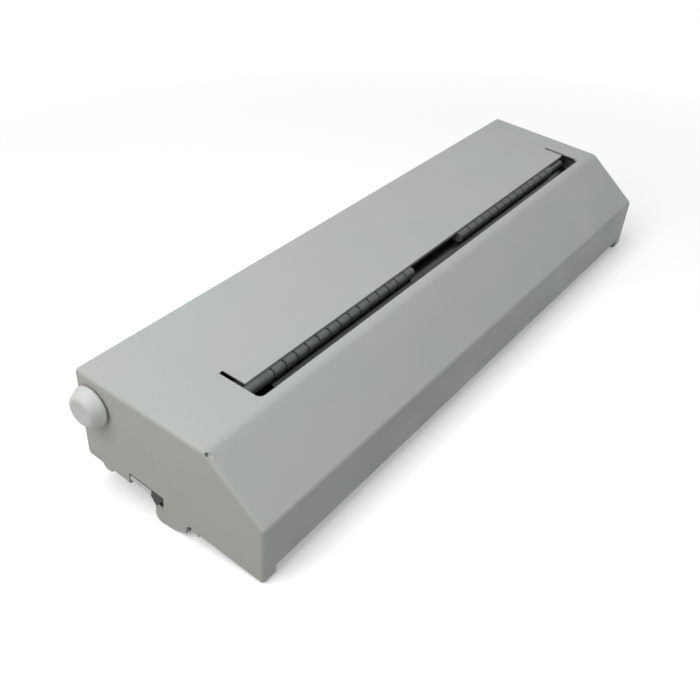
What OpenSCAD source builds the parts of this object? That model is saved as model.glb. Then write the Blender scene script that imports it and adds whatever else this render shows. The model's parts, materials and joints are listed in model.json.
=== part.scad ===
// Bar-shaped chart recorder of an ecg machine.
// Everything is drawn level first: X runs along the length, Y from the front face to the
// rear and Z up from the line of the base. The level body is then tipped back about its
// front bottom edge until it stands on that edge and on its two round feet.

/* [Housing] */
// Length of the housing from end to end
body_l = 297; // [285:1:310]
// Height of the upright front face
front_h = 26.0; // [24:0.1:28]
// Distance from the front face to the ridge where the slope meets the top
ridge_d = 26.8; // [25:0.1:28]
// Height of that ridge
ridge_h = 43.0; // [42:0.1:46]
// Distance from the front face to the rear edge of the top
top_d = 87.4; // [86:0.1:92]
// Height of the rear edge of the top
rear_h = 39.7; // [39:0.1:42]
// Depth of the housing along its base
base_d = 83.2; // [82:0.1:86]
// Thickness of the housing's walls
wall = 2.5; // [2.2:0.1:2.8]
// Distance by which the front face stands further forward at its foot
front_toe = 2.2; // [1.8:0.1:2.6]
// Height of the recess under the front face
toe_h = 5.0; // [4.4:0.1:5.6]
// Distance from the front face's foot line to the rear edge of that recess
toe_in = 3.0; // [2.6:0.1:3.4]
// Length of the post that is left at each end of the recess
toe_l = 6.5; // [6:0.5:8]
// Radius of the front bottom edge
front_r = 1.8; // [1.6:0.1:2.6]
// Radius between the front face and the slope
slope_r = 2.6; // [2:0.1:4]
// Radius of the ridge
ridge_r = 5.5; // [4:0.1:8]
// Radius of the top rear edge
rear_r = 1.8; // [1.6:0.1:3]
// Radius of the bottom rear edge
base_r = 2.4; // [1.8:0.1:3]
// Radius that rounds the edges of the two end panels
end_r = 1.6; // [1:0.1:1.8]
// Angle by which the housing leans back when it stands
rest_tilt = 9.6; // [8:0.1:11]

/* [Paper slots] */
// Distance from the left end of the housing to the exit slot
exit_left = 31.1; // [30:0.1:33]
// Distance from the exit slot to the right end of the housing
exit_right = 13.7; // [13:0.1:18]
// Distance from the front face to the front lip of the exit slot
exit_y = 30.2; // [30:0.1:31]
// Width of the exit slot
exit_w = 8.9; // [8.5:0.1:9.5]
// Radius of the exit slot's front corners
exit_r = 2.4; // [1:0.1:3]
// Width of the relief slit at each end of the exit slot
slit_w = 2.1; // [1.6:0.1:2.4]
// Length of that slit behind the exit slot
slit_l = 10.3; // [8:0.1:13]
// Distance by which each end of the entry slot lies further in than the exit slot's
entry_in = 13.1; // [10:0.1:15]
// Height of the entry slot's lower lip above the base line
entry_z = 6.2; // [6:0.1:6.8]
// Height of the entry slot
entry_h = 6.0; // [5.6:0.1:6.2]

/* [Feet] */
// Radius of the round feet
foot_r = 17.2; // [15:0.1:18]
// Radius of the rounded rear end of the skirts that hide the feet from the ends
skirt_r = 3.3; // [3:0.1:3.8]
// Length of those skirts
skirt_l = 20.9; // [19:0.1:22]
// Distance from the front face to the middle of the feet
foot_y = 40.3; // [38:0.1:43]
// Thickness of the rubber pads under the feet
pad_t = 1.2; // [1:0.1:1.6]
// Margin of the foot round its pad
pad_margin = 0.8; // [0.5:0.1:2]

/* [Platen] */
// Distance from the front face to the platen's axis
platen_y = 37.8; // [37.4:0.1:38.2]
// Depth of the platen's axis below the top face
platen_drop = 12.9; // [12.6:0.1:13.4]
// Radius of the platen's rubber
platen_r = 7.0; // [6.6:0.1:7.2]
// Gap between the left ends of the exit slot and of the platen's rubber
platen_in_left = 13.4; // [10:0.1:14]
// Gap between the right ends of the platen's rubber and of the exit slot
platen_in_right = 7.1; // [5:0.1:9]
// Radius of the platen's shaft
platen_shaft_r = 3.0; // [2.5:0.1:3.2]

/* [Gears] */
// Module of the gears
gear_m = 0.6; // [0.58:0.01:0.62]
// Teeth of the gear on the platen's shaft
platen_teeth = 30; // [28:1:30]
// Teeth of the motor's pinion
motor_teeth = 14; // [13:1:15]
// Teeth of the knob's pinion
knob_teeth = 13; // [12:1:14]
// Width of the gears
gear_w = 4.0; // [3:0.1:5]
// Play between two meshing teeth
gear_play = 0.14; // [0.1:0.01:0.2]
// Direction in which the motor's pinion lies from the knob's pinion
motor_angle = 199; // [197:1:202]

/* [Knob] */
// Distance from the rear face to the knob's axis
knob_in = 8.4; // [8:0.1:9]
// Height of the knob's axis above the base line
knob_z = 28.7; // [28:0.1:29]
// Radius of the knob's rim
knob_rim_r = 8.0; // [7:0.1:8.2]
// Radius of the knob's face
knob_face_r = 5.9; // [5:0.1:6.5]
// Length of the knob outside the end panel
knob_l = 5.6; // [5:0.1:7]
// Space between the knob's rim and the end panel
knob_gap = 0.7; // [0.4:0.1:1]
// Radius of the knob's shaft
knob_shaft_r = 2.0; // [1.6:0.1:2.2]

/* [Print head] */
// Direction in which the print head lies from the platen's axis
head_angle = 225; // [222:1:228]
// Gap that the paper takes between the print head and the platen
paper_gap = 0.3; // [0.25:0.01:0.35]
// Gap between each end of the print head and the end of the exit slot
head_in = 18.1; // [16:0.1:21]
// Thickness of the heat sink behind the print head
sink_t = 4.0; // [3.5:0.1:4.5]
// Distance of the print head's pivot behind the platen's axis
pivot_back = 4.7; // [4.2:0.1:5.2]
// Height of the print head's pivot above the base line
pivot_z = 10.5; // [10.2:0.1:11]
// Radius of the pivot rod
pivot_r = 2.0; // [1.6:0.1:2.2]
// Length of the springs that press the print head up
spring_l = 7.0; // [6.5:0.1:7.5]
// Outer radius of those springs
spring_r = 2.6; // [2.2:0.1:3]

/* [Paper release] */
// Distance from the front face to the front end of the notch in the left end panel
notch_y = 44.2; // [44:0.1:45]
// Height of that notch above the base line
notch_h = 6.3; // [6:0.1:6.6]
// Length of the release tab's travel
release_travel = 6.0; // [5:0.1:6.2]
// Length of the release tab
tab_l = 10.4; // [10:0.1:11]
// Angle by which the print head swings off the platen
release_angle = 4; // [3:0.1:4.5]

/* [Frame] */
// Thickness of the steel side frames
frame_t = 1.5; // [1.2:0.1:1.8]
// Thickness of the base tray
tray_t = 2.5; // [2.2:0.1:2.8]
// Radius of the posts that the base tray is screwed to
post_r = 3.3; // [3:0.1:3.6]
// Radius of the self-tapping screws
screw_r = 1.25; // [1.1:0.05:1.4]

/* [Electronics] */
// Thickness of the circuit boards
board_t = 1.6; // [1.2:0.1:2]
// Height of the main board's underside above the base line
board_z = 30.4; // [30:0.1:31]
// Radius of a battery cell
cell_r = 7.1; // [6.8:0.1:7.25]
// Length of a battery cell
cell_l = 50; // [45:1:52]
// Number of battery cells
cell_count = 4; // [2:1:4]
// Radius of the motor's can
motor_r = 10; // [9:0.1:10.4]
// Length of the motor's can
motor_l = 14; // [12:1:18]

/* [Hidden] */

// Clearances, facets and small steps
fine = 64;
coarse = 32;
tiny = 0.02;
part_gap = 0.3;
run_clear = 0.05;
press_clear = 0.02;
screw_clear = 0.2;
head_sink = 1.2;
head_h = 1.1;
arc_steps = 6;
end_steps = 5;

// Corners of the section, counter-clockwise from the front bottom edge: [y, z, radius]
corners = [[-front_toe, 0, front_r], [base_d, 0, base_r], [top_d, rear_h, rear_r],
    [ridge_d, ridge_h, ridge_r], [0, front_h, slope_r]];
corner_n = len(corners);
function corner(i) = corners[(i + corner_n) % corner_n];
function corner_at(i) = [corner(i)[0], corner(i)[1]];
function corner_r(i) = corner(i)[2];
function unit(v) = v / norm(v);
// Centre of a fillet of radius r in corner i of the section drawn in by an inset
function fillet_at(i, inset, r) =
    let (u = unit(corner_at(i - 1) - corner_at(i)), v = unit(corner_at(i + 1) - corner_at(i)))
    let (half = acos(u * v) / 2)
    corner_at(i) + unit(u + v) * (inset + r) / sin(half);
function fillet_centre(i) = fillet_at(i, 0, corner_r(i));
function inset_r(i, inset) = max(corner_r(i) - inset, part_gap);
// Direction of the outward normal of the side that leaves corner i
function side_normal(i) =
    let (d = corner_at(i + 1) - corner_at(i)) atan2(-d[0], d[1]);
function arc_span(i) = ((side_normal(i) - side_normal(i - 1)) % 360 + 360) % 360;
function section(inset) = [for (i = [0:corner_n - 1], k = [0:arc_steps])
    let (a = side_normal(i - 1) + arc_span(i) * k / arc_steps, r = inset_r(i, inset))
    fillet_at(i, inset, r) + r * [cos(a), sin(a)]];

// Heights of the sloping outer faces at a distance y from the front face
function top_z(y) = ridge_h + (rear_h - ridge_h) * (y - ridge_d) / (top_d - ridge_d);
function rear_y(z) = base_d + (top_d - base_d) * z / rear_h;
// Inner face of the rear wall where it comes furthest forward between two heights
function rear_inner(z0, z1) = min(rear_y(z0), rear_y(z1)) - wall;
top_angle = atan((ridge_h - rear_h) / (top_d - ridge_d));
ceiling_drop = wall / cos(top_angle);
function ceiling_z(y) = top_z(y) - ceiling_drop;

// The tipped body: where a level point goes, and the body's reach after tipping
function tipped(p) = [p[0] * cos(rest_tilt) - p[1] * sin(rest_tilt),
    p[0] * sin(rest_tilt) + p[1] * cos(rest_tilt)];
function low_z(i) = tipped(fillet_centre(i))[1] - corner_r(i);
function front_y(i) = tipped(fillet_centre(i))[0] - corner_r(i);
function back_y(i) = tipped(fillet_centre(i))[0] + corner_r(i);
floor_z = low_z(0);
front_end = front_y(4);
back_end = max(back_y(1), back_y(2));
knob_reach = knob_gap + knob_l;
shift_x = knob_reach / 2;
shift_y = -(front_end + back_end) / 2;
// Sloping line of the recess under the front face, and its direction into the housing
toe_top = [-front_toe * (1 - toe_h / front_h), toe_h];
toe_low = [toe_in, 0];
toe_line = toe_low - toe_top;
toe_inward = unit([-toe_line[1], toe_line[0]]);
// Height of the level body's line that lies on the ground, raised by h
function ground(y, h) = (floor_z + h - y * sin(rest_tilt)) / cos(rest_tilt);

// Ends and paper path
end_x = body_l / 2;
inner_x = end_x - wall;
exit_x0 = -end_x + exit_left;
exit_x1 = end_x - exit_right;
exit_l = exit_x1 - exit_x0;
paper_x = (exit_x0 + exit_x1) / 2;
entry_l = exit_l - 2 * entry_in;
platen_l = exit_l - platen_in_left - platen_in_right;
head_l = exit_l - 2 * head_in;
platen_z = top_z(platen_y) - platen_drop;
knob_y = rear_y(knob_z) - knob_in;
pivot_y = platen_y + pivot_back;
exit_y1 = exit_y + exit_w;

// Openings of the cover's base and the tray in it
lip = wall + 2.5;
tray_y0 = lip + part_gap;
tray_y1 = base_d - lip - part_gap;

// Side frames
frame_margin = 2.4;
left_frame_x = exit_x0 - frame_margin - frame_t;
right_frame_x = exit_x1 + frame_margin;
frame_inner_l = right_frame_x - left_frame_x - frame_t;
frame_foot_w = 9;
frame_foot_l = 14;
frame_foot_y = [24, tray_y1 - 7.9];
frame_screw_x = [left_frame_x + frame_t + frame_foot_w / 2,
    right_frame_x - frame_foot_w / 2];
foot_x = inner_x - part_gap - foot_r;

// Gears
gear_x = left_frame_x - 2.6 - gear_w;
pressure_angle = 25;
flank_steps = 2;
hub_l = 1.6;
platen_at = [platen_y, platen_z];
knob_at = [knob_y, knob_z];
function pitch_r(teeth) = gear_m * teeth / 2;
motor_at = knob_at + (pitch_r(motor_teeth) + pitch_r(knob_teeth))
    * [cos(motor_angle), sin(motor_angle)];
gear_span = norm(motor_at - platen_at);
idler_slack = 1.5;
idler_teeth = ceil((2 * gear_span / gear_m - platen_teeth - motor_teeth) / 2 + idler_slack);
idler_reach = pitch_r(platen_teeth) + pitch_r(idler_teeth);
idler_back = pitch_r(motor_teeth) + pitch_r(idler_teeth);
idler_along = (idler_reach * idler_reach - idler_back * idler_back + gear_span * gear_span)
    / (2 * gear_span);
idler_drop = sqrt(idler_reach * idler_reach - idler_along * idler_along);
gear_line = unit(motor_at - platen_at);
idler_at = platen_at + idler_along * gear_line + idler_drop * [gear_line[1], -gear_line[0]];
idler_axle_r = 2;
motor_shaft_r = 1;
bush_r = platen_shaft_r + 1.5;
platen_x0 = exit_x0 + platen_in_left;
motor_x0 = left_frame_x + frame_t;
motor_boss_r = 3;
motor_screw_up = 6.5;
motor_screws_at = [for (s = [-1, 1]) motor_at + [0, s * motor_screw_up]];
knob_bore_l = 3.4;

function direction(from, to) = atan2(to[1] - from[1], to[0] - from[0]);
// Phase of a gear whose gap meets the tooth of the gear that drives it
function mesh_phase(from, from_teeth, from_phase, to, to_teeth) =
    let (line = direction(from, to))
    line + 180 + 180 / to_teeth - (from_phase - line) * from_teeth / to_teeth;
platen_phase = 0;
idler_phase = mesh_phase(platen_at, platen_teeth, platen_phase, idler_at, idler_teeth);
motor_phase = mesh_phase(idler_at, idler_teeth, idler_phase, motor_at, motor_teeth);
knob_phase = mesh_phase(motor_at, motor_teeth, motor_phase, knob_at, knob_teeth);

function involute(a) = tan(a) * 180 / PI - a;
// Half the angle of a tooth at radius r
function tooth_half(teeth, r) =
    let (pitch = pitch_r(teeth), base = pitch * cos(pressure_angle))
    90 / teeth - gear_play / 4 / pitch * 180 / PI + involute(pressure_angle)
        - involute(acos(min(1, base / r)));
function gear_tip(teeth) = pitch_r(teeth) + gear_m * 0.92;
function gear_root(teeth) = pitch_r(teeth) - gear_m * 1.2;
function gear_base(teeth) = max(pitch_r(teeth) * cos(pressure_angle), gear_root(teeth) + tiny);
function gear_points(teeth, phase) = [for (t = [0:teeth - 1], side = [-1, 1], k = [0:flank_steps + 1])
    let (step = side < 0 ? k : flank_steps + 1 - k)
    let (base = gear_base(teeth))
    let (flank_r = base + (gear_tip(teeth) - base) * (step - 1) / flank_steps)
    let (r = step == 0 ? gear_root(teeth) : flank_r)
    let (a = phase + 360 * t / teeth + side * tooth_half(teeth, max(r, base)))
    r * [cos(a), sin(a)]];

// Print head, in a frame that starts on the paper line with u away from the platen
head_u = [cos(head_angle), sin(head_angle)];
head_t = [head_u[1], -head_u[0]];
head_at = platen_at + (platen_r + paper_gap) * head_u;
head_chip_t = 1;
head_half = 4;
sink_up = 6;
sink_down = 12.5;
head_x0 = paper_x - head_l / 2;
ear_r = 4;
ear_w = 4;
arm_x = gear_x - 2.5 - ear_w;
arm_l = 12;
arm_t = 3;
rail_u = head_chip_t + sink_t + spring_l;
rail_half = 4;
// Point of the heat sink at a depth u behind the paper line and a distance down from it
function sink_corner(u, down) = head_at + u * head_u - down * head_t;
link_w = 4;
link_at = sink_corner(head_chip_t + sink_t / 2, 7);

// Springs between the spring rail and the back of the heat sink
spring_turns = 5;
spring_sides = 6;
spring_steps = 12;
wire_r = 0.35;
spring_x = [for (k = [-1, 0, 1]) paper_x + k * head_l / 3];

// Release slider
keeper_w = 2;
slider_z = tray_t + part_gap;
slider_top = 5.4;
slider_x1 = arm_x + ear_w + keeper_w + part_gap + run_clear;
notch_l = release_travel + tab_l + 2 * part_gap;
tab_y = notch_y + release_travel + part_gap;
ramp_rise = arm_l * (release_angle * PI / 180) / release_travel;
tip_y = pivot_y + arm_l;

// Exit guides: wall with a rounded top, ribs along its front, a chin that clears the platen
rib_pitch = 6.45;
rib_w = 5.6;
rib_t = 0.9;
rib_gap = rib_pitch - rib_w;
guide_round = 2.2;
guide_front_y = exit_y + 5.8;
guide_low_z = platen_z + platen_r + 0.5;
guide_chin = [1.4, 1.2];
guide_sink = 1;
guide_round_at = [guide_front_y + guide_round,
    top_z(guide_front_y + guide_round) - guide_sink - guide_round];
guide_split = [paper_x - 21.4, paper_x + 17];
rail_y = 44.2;
rail_foot_w = 5;
guide_end_gap = [0.6, 4.3];
guide_pad_l = [13.8, 7.6];
guide_plain_l = [0, 13.35];
guide_x0 = [exit_x0 + guide_end_gap[0], guide_split[1]];
guide_x1 = [guide_split[0], exit_x1 - guide_end_gap[1]];
guide_steps = 6;
guide_screw_r = 0.75;
guide_screw_head_r = 1.2;
guide_foot_t = 1.2;
guide_foot_l = 2.2;
guide_screw_z = guide_low_z - guide_foot_l / 2;
rail_web_z = guide_screw_z - guide_screw_head_r - frame_t - part_gap;
guide_screw_in = 15;
guide_screw_x = [for (side = [0, 1]) each [guide_x0[side] + guide_screw_in,
    guide_x1[side] - guide_screw_in]];

// Chutes
chute_t = 1.2;
chute_flat = 62;
chute_end = [platen_y + 8.7, 18.9];
chute_open = entry_h;
chute_back_y = rear_y(entry_z) - wall - 0.6;

// Battery
cell_x0 = paper_x - cell_count * cell_l / 2;
holder_wall = 1;
holder_clear = 0.2;
holder_y = lip + part_gap;
cell_at = [holder_y + holder_wall + holder_clear + cell_r, tray_t + holder_wall + cell_r];

// Board and sockets
post_hole_depth = 10;
board_y0 = rail_y + rail_foot_w + 0.5;
board_y1 = rear_inner(board_z, board_z + board_t) - 4.9;
board_x0 = motor_x0 + motor_l + 9.8;
board_x1 = right_frame_x - 5.2;
board_inset = 4.5;
board_holes = [for (x = [board_x0 + board_inset, board_x1 - board_inset],
    y = [board_y0 + board_inset, board_y1 - board_inset]) [x, y]];
boss_r = 2.8;
socket_z = 22;
patient_x = board_x1 - 62;
power_x = board_x0 + 26;
data_x = board_x0 + 106;
patient_w = 25;
patient_h = 8.4;
patient_flange_w = 39;
patient_flange_h = 12.4;
socket_gap = 0.5;
flange_y = rear_inner(socket_z - patient_flange_h / 2, board_z) - socket_gap;
socket_screw_out = patient_flange_w / 2 - 3.2;
power_bore_r = 2.9;
power_w = 9;
power_h = 11;
data_w = 12;
data_h = 10.8;
socket_depth = 10;
post_x = inner_x - post_r - part_gap;
post_y = [10, notch_y + notch_l + post_r + part_gap];

// Places a level piece on the ground, tipped back
module tip() {
    translate([shift_x, shift_y, -floor_z]) rotate([rest_tilt, 0, 0]) children();
}

// Extrudes a section drawn in Y and Z along X
module along_x(x0, length) {
    translate([x0, 0, 0]) rotate([90, 0, 90]) linear_extrude(length) children();
}

module rod_x(x0, length, at, r, facets = fine) {
    translate([x0, at[0], at[1]]) rotate([0, 90, 0]) cylinder(h = length, r = r, $fn = facets);
}

module ring_x(x0, length, at, outer, inner) {
    difference() {
        rod_x(x0, length, at, outer);
        rod_x(x0 - 1, length + 2, at, inner);
    }
}

// Retaining ring that grips a shaft
module clip_x(x0, at, shaft) {
    difference() {
        ring_x(x0, 0.8, at, shaft + 1.6, shaft + press_clear);
        translate([x0 - 1, at[0] - shaft * 0.6, at[1]]) cube([3, shaft * 1.2, shaft + 4]);
    }
}

// Pan-head screw that points up from z = 0, with a cross in its head
module screw(length, head_r, head_h) {
    cross_w = screw_r * 0.5;
    difference() {
        translate([0, 0, -head_h]) cylinder(h = head_h, r = head_r, $fn = fine);
        for (turn = [0, 90])
            rotate([0, 0, turn]) translate([-head_r * 0.65, -cross_w / 2, -head_h - 1])
                cube([head_r * 1.3, cross_w, head_h * 0.55 + 1]);
    }
    cylinder(h = length, r = screw_r, $fn = fine);
}

// Rings of points from end to end: the section, drawn in towards each end panel
ring_n = 2 * end_steps + 2;
function ring_turn(i) = i <= end_steps ? 90 * (end_steps - i) / end_steps
    : 90 * (i - end_steps - 1) / end_steps;
function ring_x_at(i) = (i <= end_steps ? -1 : 1) * (end_x - end_r * (1 - sin(ring_turn(i))));
function ring_points(i) = [for (p = section(end_r * (1 - cos(ring_turn(i)))))
    [ring_x_at(i), p[0], p[1]]];

// Faces of a solid made of rings of m points each
function ring_faces(n, m) = concat(
    [for (i = [0:n - 2], s = [0:m - 1]) let (t = (s + 1) % m)
        [i * m + s, (i + 1) * m + s, (i + 1) * m + t, i * m + t]],
    [[for (s = [0:m - 1]) s]], [[for (s = [m - 1:-1:0]) (n - 1) * m + s]]);

// Everything under the sloping line of the front recess, grown into the housing
module recess(grow) {
    reach = 2;
    base = toe_inward * grow;
    along_x(-end_x + toe_l - grow, body_l - 2 * (toe_l - grow))
        polygon([toe_top + base - reach * toe_line, toe_low + base + reach * toe_line,
            toe_top + base - [reach, reach] * norm(toe_line)]);
}

// Lobe of an end panel in front of a foot, just clear of the ground, and a small heel
module skirt_outline() {
    skirt_gap = 0.35;
    mid_r = skirt_r - 0.1;
    rear_end = foot_y + 7.6;
    rear_at = rear_end - skirt_r;
    mid_at = rear_at - 5;
    heel_r = 3.2;
    heel_at = [notch_y + notch_l + 10.8, 2.4];
    hull() {
        translate([rear_at, ground(rear_at, skirt_gap) + skirt_r]) circle(r = skirt_r, $fn = fine);
        translate([mid_at, ground(mid_at, skirt_gap) + mid_r]) circle(r = mid_r, $fn = fine);
        translate([rear_end - skirt_l, 0]) square([skirt_l, wall]);
    }
    translate(heel_at) circle(r = heel_r, $fn = fine);
}

// Rounded outside of the housing
module outside() {
    polyhedron([for (i = [0:ring_n - 1]) each ring_points(i)],
        ring_faces(ring_n, corner_n * (arc_steps + 1)));
}

// Outline of the exit slot with its rounded front corners, and its two relief slits
module exit_outline() {
    translate([exit_x0, exit_y + exit_r]) square([exit_l, exit_w - exit_r]);
    translate([exit_x0 + exit_r, exit_y]) square([exit_l - 2 * exit_r, exit_r + 1]);
    for (x = [exit_x0 + exit_r, exit_x1 - exit_r])
        translate([x, exit_y + exit_r]) circle(r = exit_r, $fn = fine);
    for (x = [exit_x0, exit_x1 - slit_w])
        translate([x, exit_y1 - 1]) square([slit_w, slit_l + 1]);
}

module tray_posts(r, z0, z1) {
    for (end = [-1, 1], y = post_y)
        translate([end * post_x, y, z0]) cylinder(h = z1 - z0, r = r, $fn = fine);
}

module board_bosses(r, z0, z1) {
    for (at = board_holes)
        translate([at[0], at[1], z0]) cylinder(h = z1 - z0, r = r, $fn = fine);
}

// Openings in the rear wall for the paper and the sockets
module rear_cuts() {
    cut_y = min(base_d, top_d) - wall - 4;
    cut_l = max(base_d, top_d) + 1 - cut_y;
    translate([paper_x - entry_l / 2, cut_y, entry_z]) cube([entry_l, cut_l, entry_h]);
    translate([patient_x - patient_w / 2 - part_gap, cut_y, socket_z - patient_h / 2 - part_gap])
        cube([patient_w + 2 * part_gap, cut_l, patient_h + 2 * part_gap]);
    translate([power_x, cut_y, socket_z]) rotate([-90, 0, 0])
        cylinder(h = cut_l, r = power_bore_r + 1.2, $fn = fine);
    translate([data_x - data_w / 2 + 1, cut_y, socket_z - data_h / 2 + 1])
        cube([data_w - 2, cut_l, data_h - 2]);
}

// Small slot into the edge of the left end panel at the ridge
module ridge_mark() {
    mark_r = 0.65;
    mark_l = 1.7;
    mark_in = 1.7;
    mark_h = 4;
    translate([-end_x + mark_in, ridge_d - 1.6, ridge_h - mark_in]) rotate([0, -45, 0]) {
        for (s = [-1, 1])
            translate([0, s * mark_l / 2, 0]) cylinder(h = mark_h, r = mark_r, $fn = coarse);
        translate([-mark_r, -mark_l / 2, 0]) cube([2 * mark_r, mark_l, mark_h]);
    }
}

// Hollow of the housing, with its roof thinned in two steps round the exit slot's ends
module hollow() {
    thin_walls = [[1.2, 2], [0.5, 0.7]];
    thin_y = exit_y + 2.4;
    difference() {
        union() {
            along_x(-inner_x, 2 * inner_x) polygon(section(wall));
            for (x = [exit_x0, exit_x1 - slit_w], thin = thin_walls) {
                margin = thin[1];
                rear = exit_y1 + slit_l + margin;
                intersection() {
                    along_x(x - margin, slit_w + 2 * margin) polygon(section(thin[0]));
                    translate([x - margin, thin_y, ceiling_z(rear) - 1])
                        cube([slit_w + 2 * margin, rear - thin_y, 10]);
                }
            }
        }
        recess(wall);
    }
}

// Nick in the lower edge of an end panel where its lobe begins
module lobe_nick() {
    nick_y = foot_y - 12.5;
    polygon([[nick_y, 0], [nick_y + 1, -4], [nick_y + 5.2, -4], [nick_y + 5.2, 0.4],
        [nick_y + 3.6, 1.9]]);
}

module cover_shell() {
    screw_hole_top = tray_t + post_hole_depth;
    color([0.70, 0.72, 0.71]) tip() difference() {
        union() {
            difference() {
                union() {
                    outside();
                    for (x = [-end_x, inner_x]) along_x(x, wall) skirt_outline();
                }
                hollow();
            }
            intersection() {
                union() {
                    tray_posts(post_r, tray_t, ridge_h);
                    board_bosses(boss_r, board_z + board_t, ridge_h);
                }
                along_x(-inner_x, 2 * inner_x) polygon(section(wall * 0.6));
            }
        }
        translate([-inner_x, lip, -1]) cube([2 * inner_x, base_d - 2 * lip, tray_t + 1]);
        translate([0, 0, ridge_h - 8]) linear_extrude(12) exit_outline();
        rear_cuts();
        rod_x(-end_x - 1, wall + 2, knob_at, knob_shaft_r + 2 + press_clear);
        translate([-end_x - 1, notch_y, -1]) cube([wall + 2, notch_l, notch_h + 1]);
        tray_posts(screw_r + run_clear, tray_t - 1, screw_hole_top);
        board_bosses(screw_r + run_clear, board_z, ceiling_z(board_y1) - 0.6);
        ridge_mark();
        recess(0);
        for (x = [-end_x - 1, inner_x - 1]) along_x(x, wall + 2) lobe_nick();
    }
}

// Foot with a flat underside that lies parallel to the ground
module foot(x) {
    difference() {
        translate([x, foot_y, ground(foot_y + foot_r, 0) - 1])
            cylinder(h = -ground(foot_y + foot_r, 0) + 1 + tray_t / 2, r = foot_r, $fn = fine);
        translate([x, 0, ground(0, pad_t)]) rotate([-rest_tilt, 0, 0])
            translate([-foot_r - 1, 0, -30]) cube([2 * foot_r + 2, foot_y + foot_r + 10, 30]);
        translate([-500, 0, 0]) cube([500 - inner_x + part_gap, 100, 10]);
        translate([inner_x - part_gap, 0, 0]) cube([500, 100, 10]);
    }
}

module base_tray() {
    rail_x = slider_x1 + part_gap;
    rail_w = 1.2;
    keeper_y = notch_y - 2;
    keeper_l = 5;
    rim_t = 1.5;
    rim_drop = 6.2;
    color([0.20, 0.21, 0.21]) tip() difference() {
        union() {
            translate([-inner_x + part_gap, tray_y0, 0])
                cube([2 * (inner_x - part_gap), tray_y1 - tray_y0, tray_t]);
            for (end = [-1, 1]) foot(end * foot_x);
            along_x(-inner_x + part_gap, rim_t)
                polygon([[notch_y + 1, 1], [notch_y + 11, 1], [notch_y + 10, -1.3],
                    [notch_y + 6, -rim_drop], [notch_y + 1, -rim_drop]]);
            translate([rail_x, keeper_y, tray_t - tiny])
                cube([rail_w, notch_l + 4, slider_top + part_gap - tray_t + 1.2]);
            translate([rail_x - keeper_w, keeper_y, slider_top + part_gap])
                cube([keeper_w + rail_w, keeper_l, 1.2]);
        }
        tray_posts(screw_r + screw_clear, -1, tray_t + 1);
        tray_posts(screw_r * 2 + screw_clear, -1, head_sink);
        for (x = frame_screw_x, y = frame_foot_y)
            translate([x, y, 0]) {
                translate([0, 0, -1])
                    cylinder(h = tray_t + 2, r = screw_r + screw_clear, $fn = fine);
                translate([0, 0, -1])
                    cylinder(h = head_sink + 1, r = screw_r * 2 + screw_clear, $fn = fine);
            }
    }
}

module foot_pads() {
    pad_at = tipped([foot_y, ground(foot_y, 0)]);
    color([0.16, 0.16, 0.17]) translate([shift_x, shift_y, 0])
        for (end = [-1, 1])
            translate([end * foot_x, pad_at[0], 0])
                cylinder(h = pad_t, r = foot_r - pad_margin, $fn = fine);
}

module tray_screws() {
    color([0.55, 0.56, 0.58]) tip() for (end = [-1, 1], y = post_y)
        translate([end * post_x, y, head_sink])
            screw(tray_t - head_sink + post_hole_depth - 1, screw_r * 2, head_h);
}

// Outline of a side frame, clear of the cover and standing on the base tray
module frame_outline() {
    intersection() {
        polygon(section(wall + 0.5));
        translate([tray_y0 + 1, tray_t]) square([tray_y1 - tray_y0 - 2, ridge_h]);
    }
}

module frame_feet(x0) {
    for (y = frame_foot_y)
        translate([x0, y - frame_foot_l / 2, tray_t]) cube([frame_foot_w, frame_foot_l, frame_t]);
}

module frame_foot_holes(x) {
    for (y = frame_foot_y)
        translate([x, y, tray_t - 1]) cylinder(h = frame_t + 2, r = screw_r + run_clear, $fn = fine);
}

module left_side_frame() {
    color([0.62, 0.64, 0.66]) tip() difference() {
        union() {
            along_x(left_frame_x, frame_t) frame_outline();
            frame_feet(left_frame_x);
        }
        frame_foot_holes(frame_screw_x[0]);
        rod_x(left_frame_x - 1, frame_t + 2, platen_at, bush_r + press_clear);
        rod_x(left_frame_x - 1, frame_t + 2, knob_at, knob_shaft_r + 2 + press_clear);
        rod_x(left_frame_x - 1, frame_t + 2, [pivot_y, pivot_z], pivot_r + press_clear);
        rod_x(left_frame_x - 1, frame_t + 2, idler_at, idler_axle_r + press_clear);
        rod_x(left_frame_x - 1, frame_t + 2, motor_at, motor_boss_r + run_clear);
        for (at = motor_screws_at)
            rod_x(left_frame_x - 1, frame_t + 2, at, screw_r + run_clear);
        translate([left_frame_x - 1, link_at[0] - link_w / 2 - 1.5, link_at[1] - link_w / 2 - 1.5])
            cube([frame_t + 2, link_w + 3, link_w + 3]);
    }
}

module right_side_frame() {
    color([0.62, 0.64, 0.66]) tip() difference() {
        union() {
            along_x(right_frame_x, frame_t) frame_outline();
            frame_feet(right_frame_x - frame_foot_w + frame_t);
        }
        frame_foot_holes(frame_screw_x[1]);
        rod_x(right_frame_x - 1, frame_t + 2, platen_at, bush_r + press_clear);
        rod_x(right_frame_x - 1, frame_t + 2, [pivot_y, pivot_z], pivot_r + press_clear);
    }
}

module frame_screws() {
    color([0.55, 0.56, 0.58]) tip() for (x = frame_screw_x, y = frame_foot_y)
        translate([x, y, head_sink]) screw(tray_t + frame_t - head_sink, screw_r * 2, head_h);
}

// Places a section drawn along the print head's own axes
module head_frame() {
    translate(head_at) rotate(head_angle) children();
}

module spring_rail() {
    color([0.60, 0.62, 0.64]) tip()
        along_x(left_frame_x + frame_t, frame_inner_l) head_frame()
            translate([rail_u, -rail_half]) {
                square([frame_t, 2 * rail_half]);
                square([4, frame_t]);
            }
}

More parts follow.
